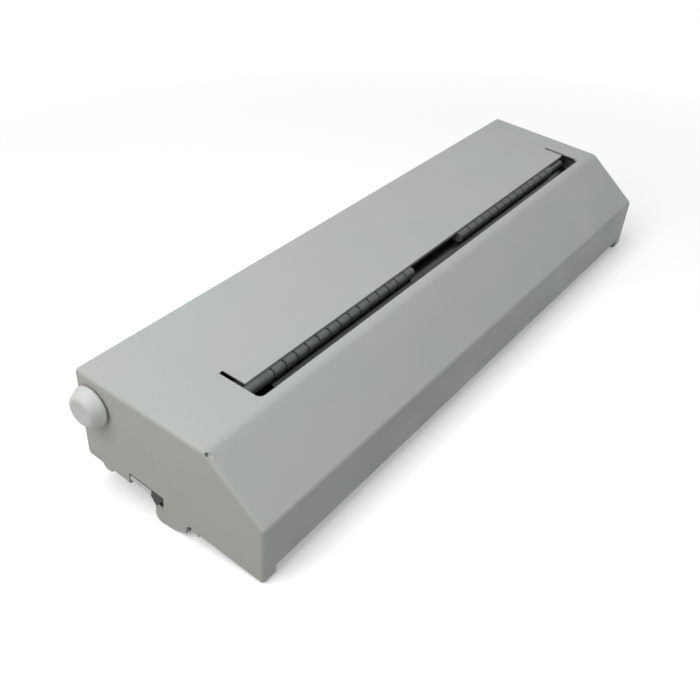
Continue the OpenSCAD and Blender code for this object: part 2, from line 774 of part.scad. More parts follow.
module guide_rail() {
    color([0.45, 0.46, 0.48]) tip() difference() {
        along_x(left_frame_x + frame_t, frame_inner_l) {
            translate([rail_y, rail_web_z])
                square([frame_t, ceiling_z(rail_y) - 0.5 - rail_web_z]);
            translate([rail_y, rail_web_z]) square([rail_foot_w, frame_t]);
        }
        for (x = guide_screw_x)
            translate([x, rail_y + frame_t + 1, guide_screw_z]) rotate([90, 0, 0])
                cylinder(h = frame_t + 2, r = guide_screw_r + run_clear, $fn = coarse);
    }
}

// Section of a guide's wall, whose front stands back by inset
function guide_profile(inset) = concat(
    [[exit_y1 - 0.1, guide_low_z],
        [guide_front_y + max(inset, guide_chin[0]), guide_low_z],
        [guide_front_y + inset, guide_low_z + guide_chin[1]]],
    [for (k = [0:guide_steps]) let (turn = 90 * k / guide_steps)
        guide_round_at + (guide_round - inset) * [-cos(turn), sin(turn)]],
    [[exit_y1 - 0.1, guide_round_at[1] + guide_round - inset]]);

// Ribbed wall behind the exit slot, with a plain pad, a plain end and its foot on the rail
module guide(side) {
    x0 = guide_x0[side];
    x1 = guide_x1[side];
    wall_y = guide_front_y + rib_t;
    rib_x0 = x0 + guide_pad_l[side] + rib_gap;
    rib_n = round((x1 - guide_plain_l[side] - rib_x0 + rib_gap) / rib_pitch);
    difference() {
        union() {
            along_x(x0, x1 - x0) polygon(guide_profile(rib_t));
            along_x(x0, guide_pad_l[side]) polygon(guide_profile(0));
            for (k = [0:rib_n - 1])
                along_x(rib_x0 + k * rib_pitch, rib_w) polygon(guide_profile(0));
            translate([x0, wall_y + guide_chin[0], guide_low_z])
                cube([x1 - x0, rail_y - wall_y - guide_chin[0],
                    ceiling_z(rail_y) - 0.5 - guide_low_z]);
            translate([x0, rail_y - guide_foot_t, guide_low_z - guide_foot_l])
                cube([x1 - x0, guide_foot_t, guide_foot_l + tiny]);
        }
        for (x = guide_screw_x)
            translate([x, rail_y + 1, guide_screw_z]) rotate([90, 0, 0])
                cylinder(h = 4, r = guide_screw_r + run_clear, $fn = coarse);
    }
}

module guide_left() {
    color([0.33, 0.34, 0.35]) tip() guide(0);
}

module guide_right() {
    color([0.33, 0.34, 0.35]) tip() guide(1);
}

module guide_screws() {
    color([0.55, 0.56, 0.58]) tip() for (x = guide_screw_x)
        translate([x, rail_y + frame_t, guide_screw_z]) rotate([90, 0, 0]) {
            cylinder(h = frame_t + guide_foot_t - 0.2, r = guide_screw_r, $fn = coarse);
            translate([0, 0, -0.8]) cylinder(h = 0.8, r = guide_screw_head_r, $fn = coarse);
        }
}

// Bent sheet that follows the floor or the ceiling of the paper's way in
module chute(floor_line, thickness) {
    normal_up = [for (p = floor_line) [p[0], p[1] + thickness]];
    along_x(left_frame_x + frame_t, frame_inner_l)
        polygon(concat(floor_line, [for (i = [len(floor_line) - 1:-1:0]) normal_up[i]]));
}

module lower_chute() {
    color([0.50, 0.52, 0.53]) tip()
        chute([[chute_back_y, entry_z - chute_t], [chute_flat, entry_z - chute_t],
            chute_end - [0, chute_t]], chute_t);
}

module upper_chute() {
    z = entry_z + chute_open;
    color([0.50, 0.52, 0.53]) tip()
        chute([[chute_back_y, z], [chute_flat + 2.5, z], chute_end + [3.5, 5.5]], chute_t);
}

module platen_bushes() {
    flange_r = bush_r + 1;
    color([0.16, 0.16, 0.17]) tip() {
        ring_x(left_frame_x, frame_t, platen_at, bush_r, platen_shaft_r + run_clear);
        ring_x(left_frame_x + frame_t, 1, platen_at, flange_r, platen_shaft_r + run_clear);
        ring_x(right_frame_x, frame_t, platen_at, bush_r, platen_shaft_r + run_clear);
        ring_x(right_frame_x - 1, 1, platen_at, flange_r, platen_shaft_r + run_clear);
    }
}

module platen_shaft() {
    color([0.75, 0.76, 0.78]) tip()
        rod_x(gear_x - 2, right_frame_x + frame_t + 3 - gear_x + 2, platen_at, platen_shaft_r);
}

module platen_rubber() {
    color([0.13, 0.13, 0.14]) tip()
        ring_x(platen_x0, platen_l, platen_at, platen_r, platen_shaft_r + press_clear);
}

module gear(at, teeth, phase, bore) {
    along_x(gear_x, gear_w) translate(at) difference() {
        polygon(gear_points(teeth, phase));
        circle(r = bore, $fn = fine);
    }
}

module platen_gear() {
    color([0.88, 0.88, 0.84]) tip()
        gear(platen_at, platen_teeth, platen_phase, platen_shaft_r + press_clear);
}

module platen_clips() {
    color([0.35, 0.36, 0.38]) tip() {
        clip_x(gear_x - 1, platen_at, platen_shaft_r);
        clip_x(right_frame_x + frame_t + 0.5, platen_at, platen_shaft_r);
    }
}

module idler_axle() {
    color([0.75, 0.76, 0.78]) tip()
        rod_x(gear_x - 2, left_frame_x + frame_t - gear_x + 2, idler_at, idler_axle_r);
}

module idler_gear() {
    color([0.88, 0.88, 0.84]) tip() {
        gear(idler_at, idler_teeth, idler_phase, idler_axle_r + run_clear);
        ring_x(gear_x + gear_w, hub_l, idler_at, idler_axle_r + 2, idler_axle_r + run_clear);
    }
}

module idler_clip() {
    color([0.35, 0.36, 0.38]) tip() clip_x(gear_x - 1.2, idler_at, idler_axle_r);
}

module motor_can() {
    color([0.70, 0.70, 0.68]) tip() difference() {
        union() {
            rod_x(motor_x0, motor_l, motor_at, motor_r);
            rod_x(left_frame_x, frame_t + 1, motor_at, motor_boss_r);
        }
        rod_x(left_frame_x - 1, motor_l + 0.5, motor_at, motor_shaft_r + run_clear);
        for (at = motor_screws_at) rod_x(motor_x0 - 1, 6, at, screw_r + run_clear);
    }
}

module motor_screws() {
    color([0.55, 0.56, 0.58]) tip() for (at = motor_screws_at)
        translate([left_frame_x, at[0], at[1]]) rotate([0, 90, 0]) screw(5, screw_r * 1.8, 0.9);
}

module motor_shaft() {
    color([0.75, 0.76, 0.78]) tip()
        rod_x(gear_x - 0.8, motor_l - 2 + motor_x0 - gear_x, motor_at, motor_shaft_r);
}

module motor_pinion() {
    color([0.80, 0.68, 0.38]) tip()
        gear(motor_at, motor_teeth, motor_phase, motor_shaft_r + press_clear);
}

module knob_bushes() {
    outer = knob_shaft_r + 2;
    color([0.90, 0.90, 0.86]) tip() {
        ring_x(-end_x + 0.2, wall - 0.2, knob_at, outer, knob_shaft_r + run_clear);
        ring_x(-inner_x, 1, knob_at, outer + 1, knob_shaft_r + run_clear);
        ring_x(left_frame_x, frame_t, knob_at, outer, knob_shaft_r + run_clear);
        ring_x(left_frame_x - 0.8, 0.8, knob_at, outer + 0.8, knob_shaft_r + run_clear);
    }
}

module knob_shaft() {
    start = -end_x - knob_gap - knob_bore_l;
    color([0.75, 0.76, 0.78]) tip()
        rod_x(start, left_frame_x + frame_t - part_gap - start, knob_at, knob_shaft_r);
}

module knob_pinion() {
    color([0.88, 0.88, 0.84]) tip()
        gear(knob_at, knob_teeth, knob_phase, knob_shaft_r + press_clear);
}

// Tapered knob with a rounded rim and a shallow dish in its face
module feed_knob() {
    rim = 1.1;
    edge = 0.9;
    dish = 0.4;
    color([0.93, 0.93, 0.91]) tip() translate([-end_x - knob_gap, knob_at[0], knob_at[1]])
        rotate([0, -90, 0]) rotate_extrude($fn = fine) polygon([
            [knob_shaft_r + press_clear, 0], [knob_rim_r - rim / 2, 0], [knob_rim_r, rim / 2],
            [knob_rim_r, rim], [knob_face_r + edge / 3, knob_l - edge], [knob_face_r, knob_l - edge / 3],
            [knob_face_r - edge, knob_l], [knob_face_r - 2 * edge, knob_l - dish],
            [0, knob_l - dish], [0, knob_bore_l + 0.1], [knob_shaft_r + press_clear, knob_bore_l + 0.1]]);
}

module knob_clip() {
    color([0.35, 0.36, 0.38]) tip() clip_x(-inner_x + 1.4, knob_at, knob_shaft_r);
}

module pivot_rod() {
    start = arm_x - 2;
    color([0.75, 0.76, 0.78]) tip()
        rod_x(start, right_frame_x + frame_t + 2.4 - start, [pivot_y, pivot_z], pivot_r);
}

module rod_clips() {
    color([0.35, 0.36, 0.38]) tip() {
        clip_x(arm_x - 1.2, [pivot_y, pivot_z], pivot_r);
        clip_x(right_frame_x + frame_t + 0.4, [pivot_y, pivot_z], pivot_r);
    }
}

// Aluminium bar behind the print head with an ear at each end that turns on the rod
module heat_sink() {
    color([0.77, 0.78, 0.80]) tip() difference() {
        union() {
            along_x(head_x0, head_l) head_frame()
                translate([head_chip_t, -sink_up]) square([sink_t, sink_up + sink_down]);
            for (x = [head_x0, head_x0 + head_l - ear_w]) along_x(x, ear_w) {
                translate([pivot_y, pivot_z]) circle(r = ear_r, $fn = fine);
                polygon([[pivot_y + ear_r * 0.94, pivot_z + ear_r * 0.34],
                    sink_corner(head_chip_t, 10.4), sink_corner(head_chip_t + sink_t, 9),
                    [pivot_y - ear_r * 0.34, pivot_z - ear_r * 0.94]]);
            }
        }
        rod_x(head_x0 - 1, head_l + 2, [pivot_y, pivot_z], pivot_r + run_clear);
    }
}

module print_head() {
    color([0.90, 0.89, 0.84]) tip() along_x(head_x0, head_l) head_frame()
        translate([0, -head_half]) square([head_chip_t, 2 * head_half]);
}

module head_board() {
    color([0.16, 0.34, 0.24]) tip() along_x(head_x0, head_l) head_frame()
        translate([head_chip_t - 0.9, head_half + 0.2]) square([0.9, 5.6]);
}

module head_cover() {
    color([0.20, 0.20, 0.21]) tip() along_x(head_x0 + 4, head_l - 8) head_frame()
        translate([head_chip_t - 2.1, head_half + 1.2]) square([1.2, 4]);
}

// Steel arm outside the left frame that swings the print head off the platen
module release_arm() {
    tip_z = slider_top + ramp_rise * (tip_y - tab_y) + part_gap;
    color([0.68, 0.70, 0.72]) tip() difference() {
        union() {
            along_x(arm_x, ear_w) {
                translate([pivot_y, pivot_z]) circle(r = ear_r, $fn = fine);
                polygon([[pivot_y, pivot_z + ear_r - 1], [pivot_y, pivot_z - ear_r + 1],
                    [tip_y - 1.2, tip_z], [tip_y, tip_z], [tip_y + 1.2, tip_z + 1.2],
                    [tip_y + 1.2, tip_z + arm_t]]);
                polygon([[pivot_y + ear_r * 0.7, pivot_z + ear_r * 0.7],
                    link_at + [link_w / 2, link_w / 2], link_at + [-link_w / 2, link_w / 2],
                    link_at + [-link_w / 2, -link_w / 2], [pivot_y - ear_r * 0.7, pivot_z - ear_r * 0.7]]);
            }
            along_x(arm_x, head_x0 - arm_x) translate(link_at - [link_w / 2, link_w / 2])
                square([link_w, link_w]);
        }
        rod_x(arm_x - 1, ear_w + 2, [pivot_y, pivot_z], pivot_r + run_clear);
    }
}

module coil(length, radius) {
    n = spring_turns * spring_steps;
    points = [for (i = [0:n], s = [0:spring_sides - 1])
        let (a = 360 * i / spring_steps, b = -360 * s / spring_sides)
        let (r = radius - wire_r + wire_r * cos(b))
        [r * cos(a), r * sin(a), wire_r + (length - 2 * wire_r) * i / n + wire_r * sin(b)]];
    polyhedron(points, ring_faces(n + 1, spring_sides));
}

module head_springs() {
    back = head_at + (head_chip_t + sink_t) * head_u;
    color([0.72, 0.74, 0.76]) tip() for (x = spring_x)
        translate([x, back[0], back[1]]) rotate([head_angle - 90, 0, 0])
             translate([0, 0, 0.1]) coil(spring_l - 0.2, spring_r);
}

// White slide with a tab in the notch and a ramp under the release arm
module release_slider() {
    slider_x0 = -end_x + 0.2;
    ramp_x = arm_x - 0.5;
    ramp_w = ear_w + 1;
    tab_plate = 0.6;
    tab_top = slider_top - 0.6;
    groove_l = 3;
    groove_h = 1.2;
    color([0.92, 0.92, 0.90]) tip() union() {
        difference() {
            translate([slider_x0, tab_y, slider_z])
                cube([slider_x1 - slider_x0, tab_l, slider_top - slider_z]);
            translate([slider_x0 - 1, tab_y - 1, tab_top])
                cube([1 + tab_plate + groove_l, tab_l + 2, groove_h]);
            translate([slider_x0 + tab_plate, tab_y - 1, tab_top - groove_h])
                cube([groove_l, tab_l + 2, 2 * groove_h]);
        }
        along_x(ramp_x, ramp_w) polygon([[tab_y, slider_z + 1], [tab_y + tab_l, slider_z + 1],
            [tab_y + tab_l, slider_top + ramp_rise * tab_l], [tab_y, slider_top]]);
    }
}

module paper_sensor() {
    color([0.12, 0.12, 0.13]) tip()
        translate([(guide_split[0] + guide_split[1]) / 2 - 4, rail_y - 2.6, guide_low_z - 1.3])
            cube([8, 2.6, 3.2]);
}

module main_board() {
    color([0.13, 0.36, 0.24]) tip() difference() {
        translate([board_x0, board_y0, board_z]) cube([board_x1 - board_x0, board_y1 - board_y0, board_t]);
        board_bosses(screw_r + 0.2, board_z - 1, board_z + board_t + 1);
    }
}

module board_screws() {
    color([0.55, 0.56, 0.58]) tip() for (at = board_holes)
        translate([at[0], at[1], board_z]) screw(board_t + 3, screw_r * 2, 1.1);
}

// Can over the input circuits, open towards the board
module input_shield() {
    can = [40, 13, 7];
    can_t = 0.4;
    can_x = board_x1 - 48;
    can_y = board_y0 + 9;
    color([0.78, 0.79, 0.80]) tip() translate([can_x, can_y, board_z - can[2]]) difference() {
        cube(can);
        translate([can_t, can_t, can_t]) cube([can[0] - 2 * can_t, can[1] - 2 * can_t, can[2]]);
    }
}

// Packages under the board: [distance from its left end, distance from its front, length]
module board_chips() {
    chip_t = 1.4;
    chip_w = 12;
    chips = [[36, 6, 14], [66, 10, 10], [78, 4, 20], [120, 12, 9], [134, 4, 7]];
    color([0.10, 0.10, 0.11]) tip() for (c = chips)
        translate([board_x0 + c[0], board_y0 + c[1], board_z - chip_t])
            cube([c[2], min(c[2], chip_w), chip_t]);
}

// Fifteen-way socket for the patient leads, with its flange against the rear wall
module patient_socket() {
    face_y = rear_y(socket_z) - 0.6;
    body_back = 8;
    pin_pitch = 2.2;
    pin_rise = 1.3;
    pin_r = 0.6;
    pin_depth = 4;
    color([0.30, 0.31, 0.33]) tip() difference() {
        union() {
            translate([patient_x - patient_flange_w / 2, flange_y - 1, socket_z - patient_flange_h / 2])
                cube([patient_flange_w, 1, patient_flange_h]);
            translate([patient_x - patient_w / 2, flange_y - body_back, socket_z - patient_h / 2])
                cube([patient_w, body_back, board_z - socket_z + patient_h / 2]);
            translate([patient_x - patient_w / 2, flange_y - 1, socket_z - patient_h / 2])
                cube([patient_w, face_y - flange_y + 1, patient_h]);
        }
        for (row = [0, 1], k = [0:7 - row])
            translate([patient_x + (k - 3.5 + row / 2) * pin_pitch, face_y + 1,
                socket_z + (1 - 2 * row) * pin_rise]) rotate([90, 0, 0])
                cylinder(h = pin_depth + 1, r = pin_r, $fn = 16);
        for (s = [-1, 1])
            translate([patient_x + s * socket_screw_out, flange_y + 1, socket_z])
                rotate([90, 0, 0]) cylinder(h = 4, r = screw_r + run_clear, $fn = fine);
    }
}

module socket_screws() {
    color([0.72, 0.73, 0.75]) tip() for (s = [-1, 1])
        translate([patient_x + s * socket_screw_out, flange_y - 1, socket_z])
            rotate([-90, 0, 0]) screw(1.4, 2.2, 1.2);
}

module power_jack() {
    back_y = rear_inner(socket_z - power_h / 2, board_z) - socket_gap;
    color([0.10, 0.10, 0.11]) tip() difference() {
        union() {
            translate([power_x - power_w / 2, back_y - socket_depth - 2, socket_z - power_h / 2])
                cube([power_w, socket_depth + 2, board_z - socket_z + power_h / 2]);
            translate([power_x, back_y - 1, socket_z]) rotate([-90, 0, 0])
                cylinder(h = wall + 1, r = power_bore_r + 1, $fn = fine);
        }
        translate([power_x, back_y - socket_depth, socket_z]) rotate([-90, 0, 0])
            cylinder(h = socket_depth + wall + 4, r = power_bore_r, $fn = fine);
    }
}

module data_socket() {
    back_y = rear_inner(socket_z - data_h / 2, board_z) - socket_gap;
    data_l = 14;
    data_rim = 1.4;
    data_depth = 9;
    color([0.80, 0.80, 0.78]) tip() difference() {
        translate([data_x - data_w / 2, back_y - data_l, socket_z - data_h / 2])
            cube([data_w, data_l, board_z - socket_z + data_h / 2]);
        translate([data_x - data_w / 2 + data_rim, back_y - data_depth,
            socket_z - data_h / 2 + data_rim])
            cube([data_w - 2 * data_rim, data_depth + 3, data_h - 2 * data_rim]);
    }
}

module battery_holder() {
    holder_h = 9;
    holder_end = 3;
    inner_w = 2 * (cell_r + holder_clear);
    cells_l = cell_count * cell_l + 2 * holder_clear;
    color([0.20, 0.21, 0.22]) tip() difference() {
        translate([cell_x0 - holder_end, holder_y, tray_t])
            cube([cell_count * cell_l + 2 * holder_end, inner_w + 2 * holder_wall, holder_h]);
        rod_x(cell_x0 - holder_clear, cells_l, cell_at, cell_r + holder_clear);
        translate([cell_x0 - holder_clear, cell_at[0] - inner_w / 2, cell_at[1]])
            cube([cells_l, inner_w, holder_h]);
    }
}

module battery_cells() {
    color([0.20, 0.42, 0.55]) tip() for (k = [0:cell_count - 1]) {
        rod_x(cell_x0 + k * cell_l + 0.1, cell_l - 1.6, cell_at, cell_r);
        rod_x(cell_x0 + k * cell_l + cell_l - 1.5, 1.4, cell_at, 2.6);
    }
}

cover_shell();
base_tray();
foot_pads();
tray_screws();
left_side_frame();
right_side_frame();
spring_rail();
guide_rail();
frame_screws();
guide_left();
guide_right();
guide_screws();
lower_chute();
upper_chute();
platen_bushes();
platen_shaft();
platen_rubber();
platen_gear();
platen_clips();
idler_axle();
idler_gear();
idler_clip();
motor_can();
motor_screws();
motor_shaft();
motor_pinion();
knob_bushes();
knob_shaft();
knob_pinion();
feed_knob();
knob_clip();
pivot_rod();
rod_clips();
heat_sink();
print_head();
head_board();
head_cover();
release_arm();
head_springs();
release_slider();
paper_sensor();
main_board();
board_screws();
input_shield();
board_chips();
patient_socket();
power_jack();
data_socket();
socket_screws();
battery_holder();
battery_cells();
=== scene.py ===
"""Looks of the bar-shaped chart recorder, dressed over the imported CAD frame."""
import json
import math

import bmesh
import bpy
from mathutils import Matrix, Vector


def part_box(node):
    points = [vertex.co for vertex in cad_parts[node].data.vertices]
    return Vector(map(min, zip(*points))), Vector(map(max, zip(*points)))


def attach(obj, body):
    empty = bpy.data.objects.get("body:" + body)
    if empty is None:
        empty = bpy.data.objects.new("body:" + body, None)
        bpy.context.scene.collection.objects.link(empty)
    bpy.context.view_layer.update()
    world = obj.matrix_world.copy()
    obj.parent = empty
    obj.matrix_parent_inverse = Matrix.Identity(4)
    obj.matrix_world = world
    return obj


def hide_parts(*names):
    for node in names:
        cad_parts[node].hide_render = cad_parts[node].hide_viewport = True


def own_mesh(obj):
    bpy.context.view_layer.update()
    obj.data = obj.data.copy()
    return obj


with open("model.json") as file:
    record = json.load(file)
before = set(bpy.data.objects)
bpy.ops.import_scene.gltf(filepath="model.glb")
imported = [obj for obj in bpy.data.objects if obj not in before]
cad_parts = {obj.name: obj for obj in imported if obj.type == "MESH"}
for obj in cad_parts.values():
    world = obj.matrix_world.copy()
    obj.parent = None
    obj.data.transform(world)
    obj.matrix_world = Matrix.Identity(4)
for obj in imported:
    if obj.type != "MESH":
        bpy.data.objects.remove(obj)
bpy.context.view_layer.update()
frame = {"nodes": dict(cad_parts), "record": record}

MM = 0.001
RECORD = frame["record"]
NODES = frame["nodes"]
JOINTS = {joint["name"]: joint for joint in RECORD["behaviour"]["joints"]}
MOUNTS = {mount["name"]: mount for mount in RECORD["mounts"]}

# The housing leans back: the release tab slides forward along its level direction
FORWARD = Vector(JOINTS["release_slide"]["axis"])
TILT = math.atan2(-FORWARD.z, -FORWARD.y)
BACKWARD = -FORWARD
UPWARD = Vector((0, -math.sin(TILT), math.cos(TILT)))
RIGHTWARD = Vector((1, 0, 0))

HOUSING_LOW, HOUSING_HIGH = (Vector(corner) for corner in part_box("cover_shell"))
HOUSING_MIDDLE = (HOUSING_LOW + HOUSING_HIGH) / 2
HOUSING_REACH = (HOUSING_HIGH.x - HOUSING_LOW.x) / 2


# ---------------------------------------------------------------- node helpers

def new_material(name):
    material = bpy.data.materials.new(name)
    material.use_nodes = True
    tree = material.node_tree
    return material, tree, tree.nodes["Principled BSDF"]


def link(tree, out, into):
    tree.links.new(out, into)


def feed(tree, value, into):
    """Links an output to a socket, or sets the socket where the value is a plain number."""
    if isinstance(value, bpy.types.NodeSocket):
        link(tree, value, into)
    else:
        into.default_value = value


def calculated(tree, operation, *values):
    """Result of a Math node on outputs and plain numbers."""
    node = tree.nodes.new("ShaderNodeMath")
    node.operation = operation
    for value, into in zip(values, node.inputs):
        feed(tree, value, into)
    return node.outputs["Value"]


def object_coordinates(tree, stretch=(1, 1, 1)):
    """Object coordinates in millimetres, squeezed along the axes where the grain runs long."""
    source = tree.nodes.new("ShaderNodeTexCoord")
    mapping = tree.nodes.new("ShaderNodeMapping")
    mapping.inputs["Scale"].default_value = [part / MM for part in stretch]
    link(tree, source.outputs["Object"], mapping.inputs["Vector"])
    return mapping.outputs["Vector"]


def noise(tree, vector, per_mm, detail=3, rough=0.55):
    texture = tree.nodes.new("ShaderNodeTexNoise")
    texture.inputs["Scale"].default_value = per_mm
    texture.inputs["Detail"].default_value = detail
    texture.inputs["Roughness"].default_value = rough
    link(tree, vector, texture.inputs["Vector"])
    return texture.outputs["Fac"]


def ramp(tree, factor, low, high, start=0.3, end=0.7):
    """Colour that runs from low to high as the factor goes from start to end."""
    node = tree.nodes.new("ShaderNodeValToRGB")
    first, last = node.color_ramp.elements
    first.position, last.position = start, end
    first.color = (*low, 1)
    last.color = (*high, 1)
    link(tree, factor, node.inputs["Fac"])
    return node.outputs["Color"]


def spread(tree, factor, low, high, start=0.3, end=0.7):
    """Number that runs from low to high as the factor goes from start to end."""
    node = tree.nodes.new("ShaderNodeMapRange")
    node.inputs["From Min"].default_value = start
    node.inputs["From Max"].default_value = end
    node.inputs["To Min"].default_value = low
    node.inputs["To Max"].default_value = high
    link(tree, factor, node.inputs["Value"])
    return node.outputs["Result"]


def blended(tree, factor, first, second, blend="MIX"):
    """Colour made of two others; the factor is an output or a plain number."""
    node = tree.nodes.new("ShaderNodeMix")
    node.data_type = "RGBA"
    node.blend_type = blend
    feed(tree, factor, node.inputs["Factor"])
    link(tree, first, node.inputs["A"])
    link(tree, second, node.inputs["B"])
    return node.outputs["Result"]


def mixed_shader(tree, factor, first, second):
    node = tree.nodes.new("ShaderNodeMixShader")
    link(tree, factor, node.inputs["Fac"])
    link(tree, first, node.inputs[1])
    link(tree, second, node.inputs[2])
    return node.outputs["Shader"]


def bump(tree, shader, height, depth_mm):
    node = tree.nodes.new("ShaderNodeBump")
    node.inputs["Strength"].default_value = 1.0
    node.inputs["Distance"].default_value = depth_mm * MM
    link(tree, height, node.inputs["Height"])
    link(tree, node.outputs["Normal"], shader.inputs["Normal"])


def linear(colour):
    """Turns a colour as it looks on screen into the shader's linear values."""
    return tuple(c / 12.92 if c <= 0.04045 else ((c + 0.055) / 1.055) ** 2.4 for c in colour)


# ---------------------------------------------------------------- general finishes

# Brushed metal: how far the lines are drawn out along their axis
LINE_STRETCH = 0.03

# Circuit board: fields per millimetre, width of the copper runs, shade of every other field
FIELDS_PER_MM = 0.11
RUN_WIDTH = 0.03
FIELD_SHADE = 0.9

# Platen: how far the ground rings are drawn out round the roller
RING_STRETCH = 0.02


def mottled(name, dark, light, patch_per_mm, rough, grain_per_mm, grain_mm, **shader_values):
    """Moulded, cast or ground finish: slow patches of colour and gloss over a fine grain."""
    material, tree, shader = new_material(name)
    where = object_coordinates(tree)
    patches = noise(tree, where, patch_per_mm)
    grain = noise(tree, where, grain_per_mm, detail=2, rough=0.6)
    link(tree, ramp(tree, patches, linear(dark), linear(light)), shader.inputs["Base Color"])
    link(tree, spread(tree, patches, *rough), shader.inputs["Roughness"])
    bump(tree, shader, grain, grain_mm)
    for key, value in shader_values.items():
        shader.inputs[key.replace("_", " ")].default_value = value
    return material


def brushed(name, dark, light, along, rough, metallic=1.0):
    """Metal with fine lines that run along one axis."""
    material, tree, shader = new_material(name)
    stretch = [LINE_STRETCH if axis == along else 1.0 for axis in "XYZ"]
    lines = noise(tree, object_coordinates(tree, stretch), per_mm=6.0, detail=4, rough=0.7)
    patches = noise(tree, object_coordinates(tree), per_mm=0.06)
    link(tree, ramp(tree, lines, linear(dark), linear(light), 0.35, 0.65),
         shader.inputs["Base Color"])
    link(tree, spread(tree, patches, *rough), shader.inputs["Roughness"])
    bump(tree, shader, lines, depth_mm=0.02)
    shader.inputs["Metallic"].default_value = metallic
    return material


def board_lacquer(name, ground, copper):
    """Circuit board: copper runs showing through green lacquer."""
    material, tree, shader = new_material(name)
    where = object_coordinates(tree)
    brick = tree.nodes.new("ShaderNodeTexBrick")
    brick.inputs["Scale"].default_value = FIELDS_PER_MM
    brick.inputs["Mortar Size"].default_value = RUN_WIDTH
    brick.inputs["Color1"].default_value = (*linear(ground), 1)
    brick.inputs["Color2"].default_value = (*linear([c * FIELD_SHADE for c in ground]), 1)
    brick.inputs["Mortar"].default_value = (*linear(copper), 1)
    link(tree, where, brick.inputs["Vector"])
    link(tree, brick.outputs["Color"], shader.inputs["Base Color"])
    gloss = noise(tree, where, per_mm=0.3)
    link(tree, spread(tree, gloss, 0.25, 0.4), shader.inputs["Roughness"])
    bump(tree, shader, brick.outputs["Fac"], depth_mm=0.03)
    return material


def platen_rubber():
    """Ground black rubber: fine rings round the roller, polished where paper has run."""
    material, tree, shader = new_material("platen_rubber")
    around = object_coordinates(tree, (1, RING_STRETCH, RING_STRETCH))
    rings = noise(tree, around, per_mm=5.0, detail=3)
    dust = noise(tree, object_coordinates(tree), per_mm=0.4, detail=4)
    link(tree, ramp(tree, dust, linear((0.09, 0.10, 0.10)), linear((0.15, 0.16, 0.16))),
         shader.inputs["Base Color"])
    link(tree, spread(tree, rings, 0.24, 0.36), shader.inputs["Roughness"])
    bump(tree, shader, rings, depth_mm=0.012)
    shader.inputs["Specular IOR Level"].default_value = 0.6
    return material


# ---------------------------------------------------------------- housing finish

# Colours as they look on screen, each a pair that the plastic drifts between
COVER_TINTS = ((0.725, 0.732, 0.728), (0.708, 0.735, 0.730))
# Painted light: the end panels' warmer, darker pair stands in for the warm side light on them
END_PAINTED_LIGHT_TINTS = ((0.702, 0.706, 0.672), (0.696, 0.702, 0.676))
# Painted shade: a dark pair laid on the inner faces of the housing, which lie in shade
INNER_SHADE_TINTS = ((0.11, 0.12, 0.12), (0.16, 0.17, 0.17))
SPECKLE_SHADES = ((0.95, 0.95, 0.95), (1, 1, 1))

# Depth in millimetres at which the end panels' painted warm light begins and is full, under their
# faces
END_PAINTED_LIGHT_BEGINS = 1.6
END_PAINTED_LIGHT_FULL = 0.2

# Depth in millimetres at which the painted shade of the inner faces begins and is full
INNER_SHADE_BEGINS = 1.2
INNER_SHADE_FULL = 1.5

# Smallest area in square metres of a hull face that counts as an outer face
OUTER_FACE_AREA = 0.002


def near_the_ends(tree, where):
    """Runs from 0 over the length of the housing to 1 on its two end panels, where their painted
    warm light lies.
    """
    axes = tree.nodes.new("ShaderNodeSeparateXYZ")
    link(tree, where, axes.inputs["Vector"])
    off_middle = calculated(tree, "SUBTRACT", axes.outputs["X"], HOUSING_MIDDLE.x / MM)
    distance = calculated(tree, "ABSOLUTE", off_middle)
    end = HOUSING_REACH / MM
    return spread(tree, distance, 0, 1, end - END_PAINTED_LIGHT_BEGINS, end - END_PAINTED_LIGHT_FULL)


def outer_planes(node):
    """The large flat faces of a node's hull: outward normal and distance from the origin."""
    hull = bmesh.new()
    for vertex in NODES[node].data.vertices:
        hull.verts.new(vertex.co)
    grown = bmesh.ops.convex_hull(hull, input=hull.verts)
    found = {}
    for face in (item for item in grown["geom"] if isinstance(item, bmesh.types.BMFace)):
        centre = face.calc_center_median()
        outward = face.normal.dot(centre - HOUSING_MIDDLE) > 0
        normal = face.normal if outward else -face.normal
        key = tuple(round(part, 2) for part in normal)
        area, plane = found.get(key, (0, (normal.copy(), normal.dot(centre))))
        found[key] = (area + face.calc_area(), plane)
    hull.free()
    return [plane for area, plane in found.values() if area > OUTER_FACE_AREA]


def depth_below_skin(tree, where):
    """Distance in millimetres under the nearest outer face of the housing."""
    depths = []
    for normal, reach in outer_planes("cover_shell"):
        along = tree.nodes.new("ShaderNodeVectorMath")
        along.operation = "DOT_PRODUCT"
        along.inputs[1].default_value = normal
        link(tree, where, along.inputs[0])
        depths.append(calculated(tree, "SUBTRACT", reach / MM, along.outputs["Value"]))
    least = depths[0]
    for depth in depths[1:]:
        least = calculated(tree, "MINIMUM", least, depth)
    return least


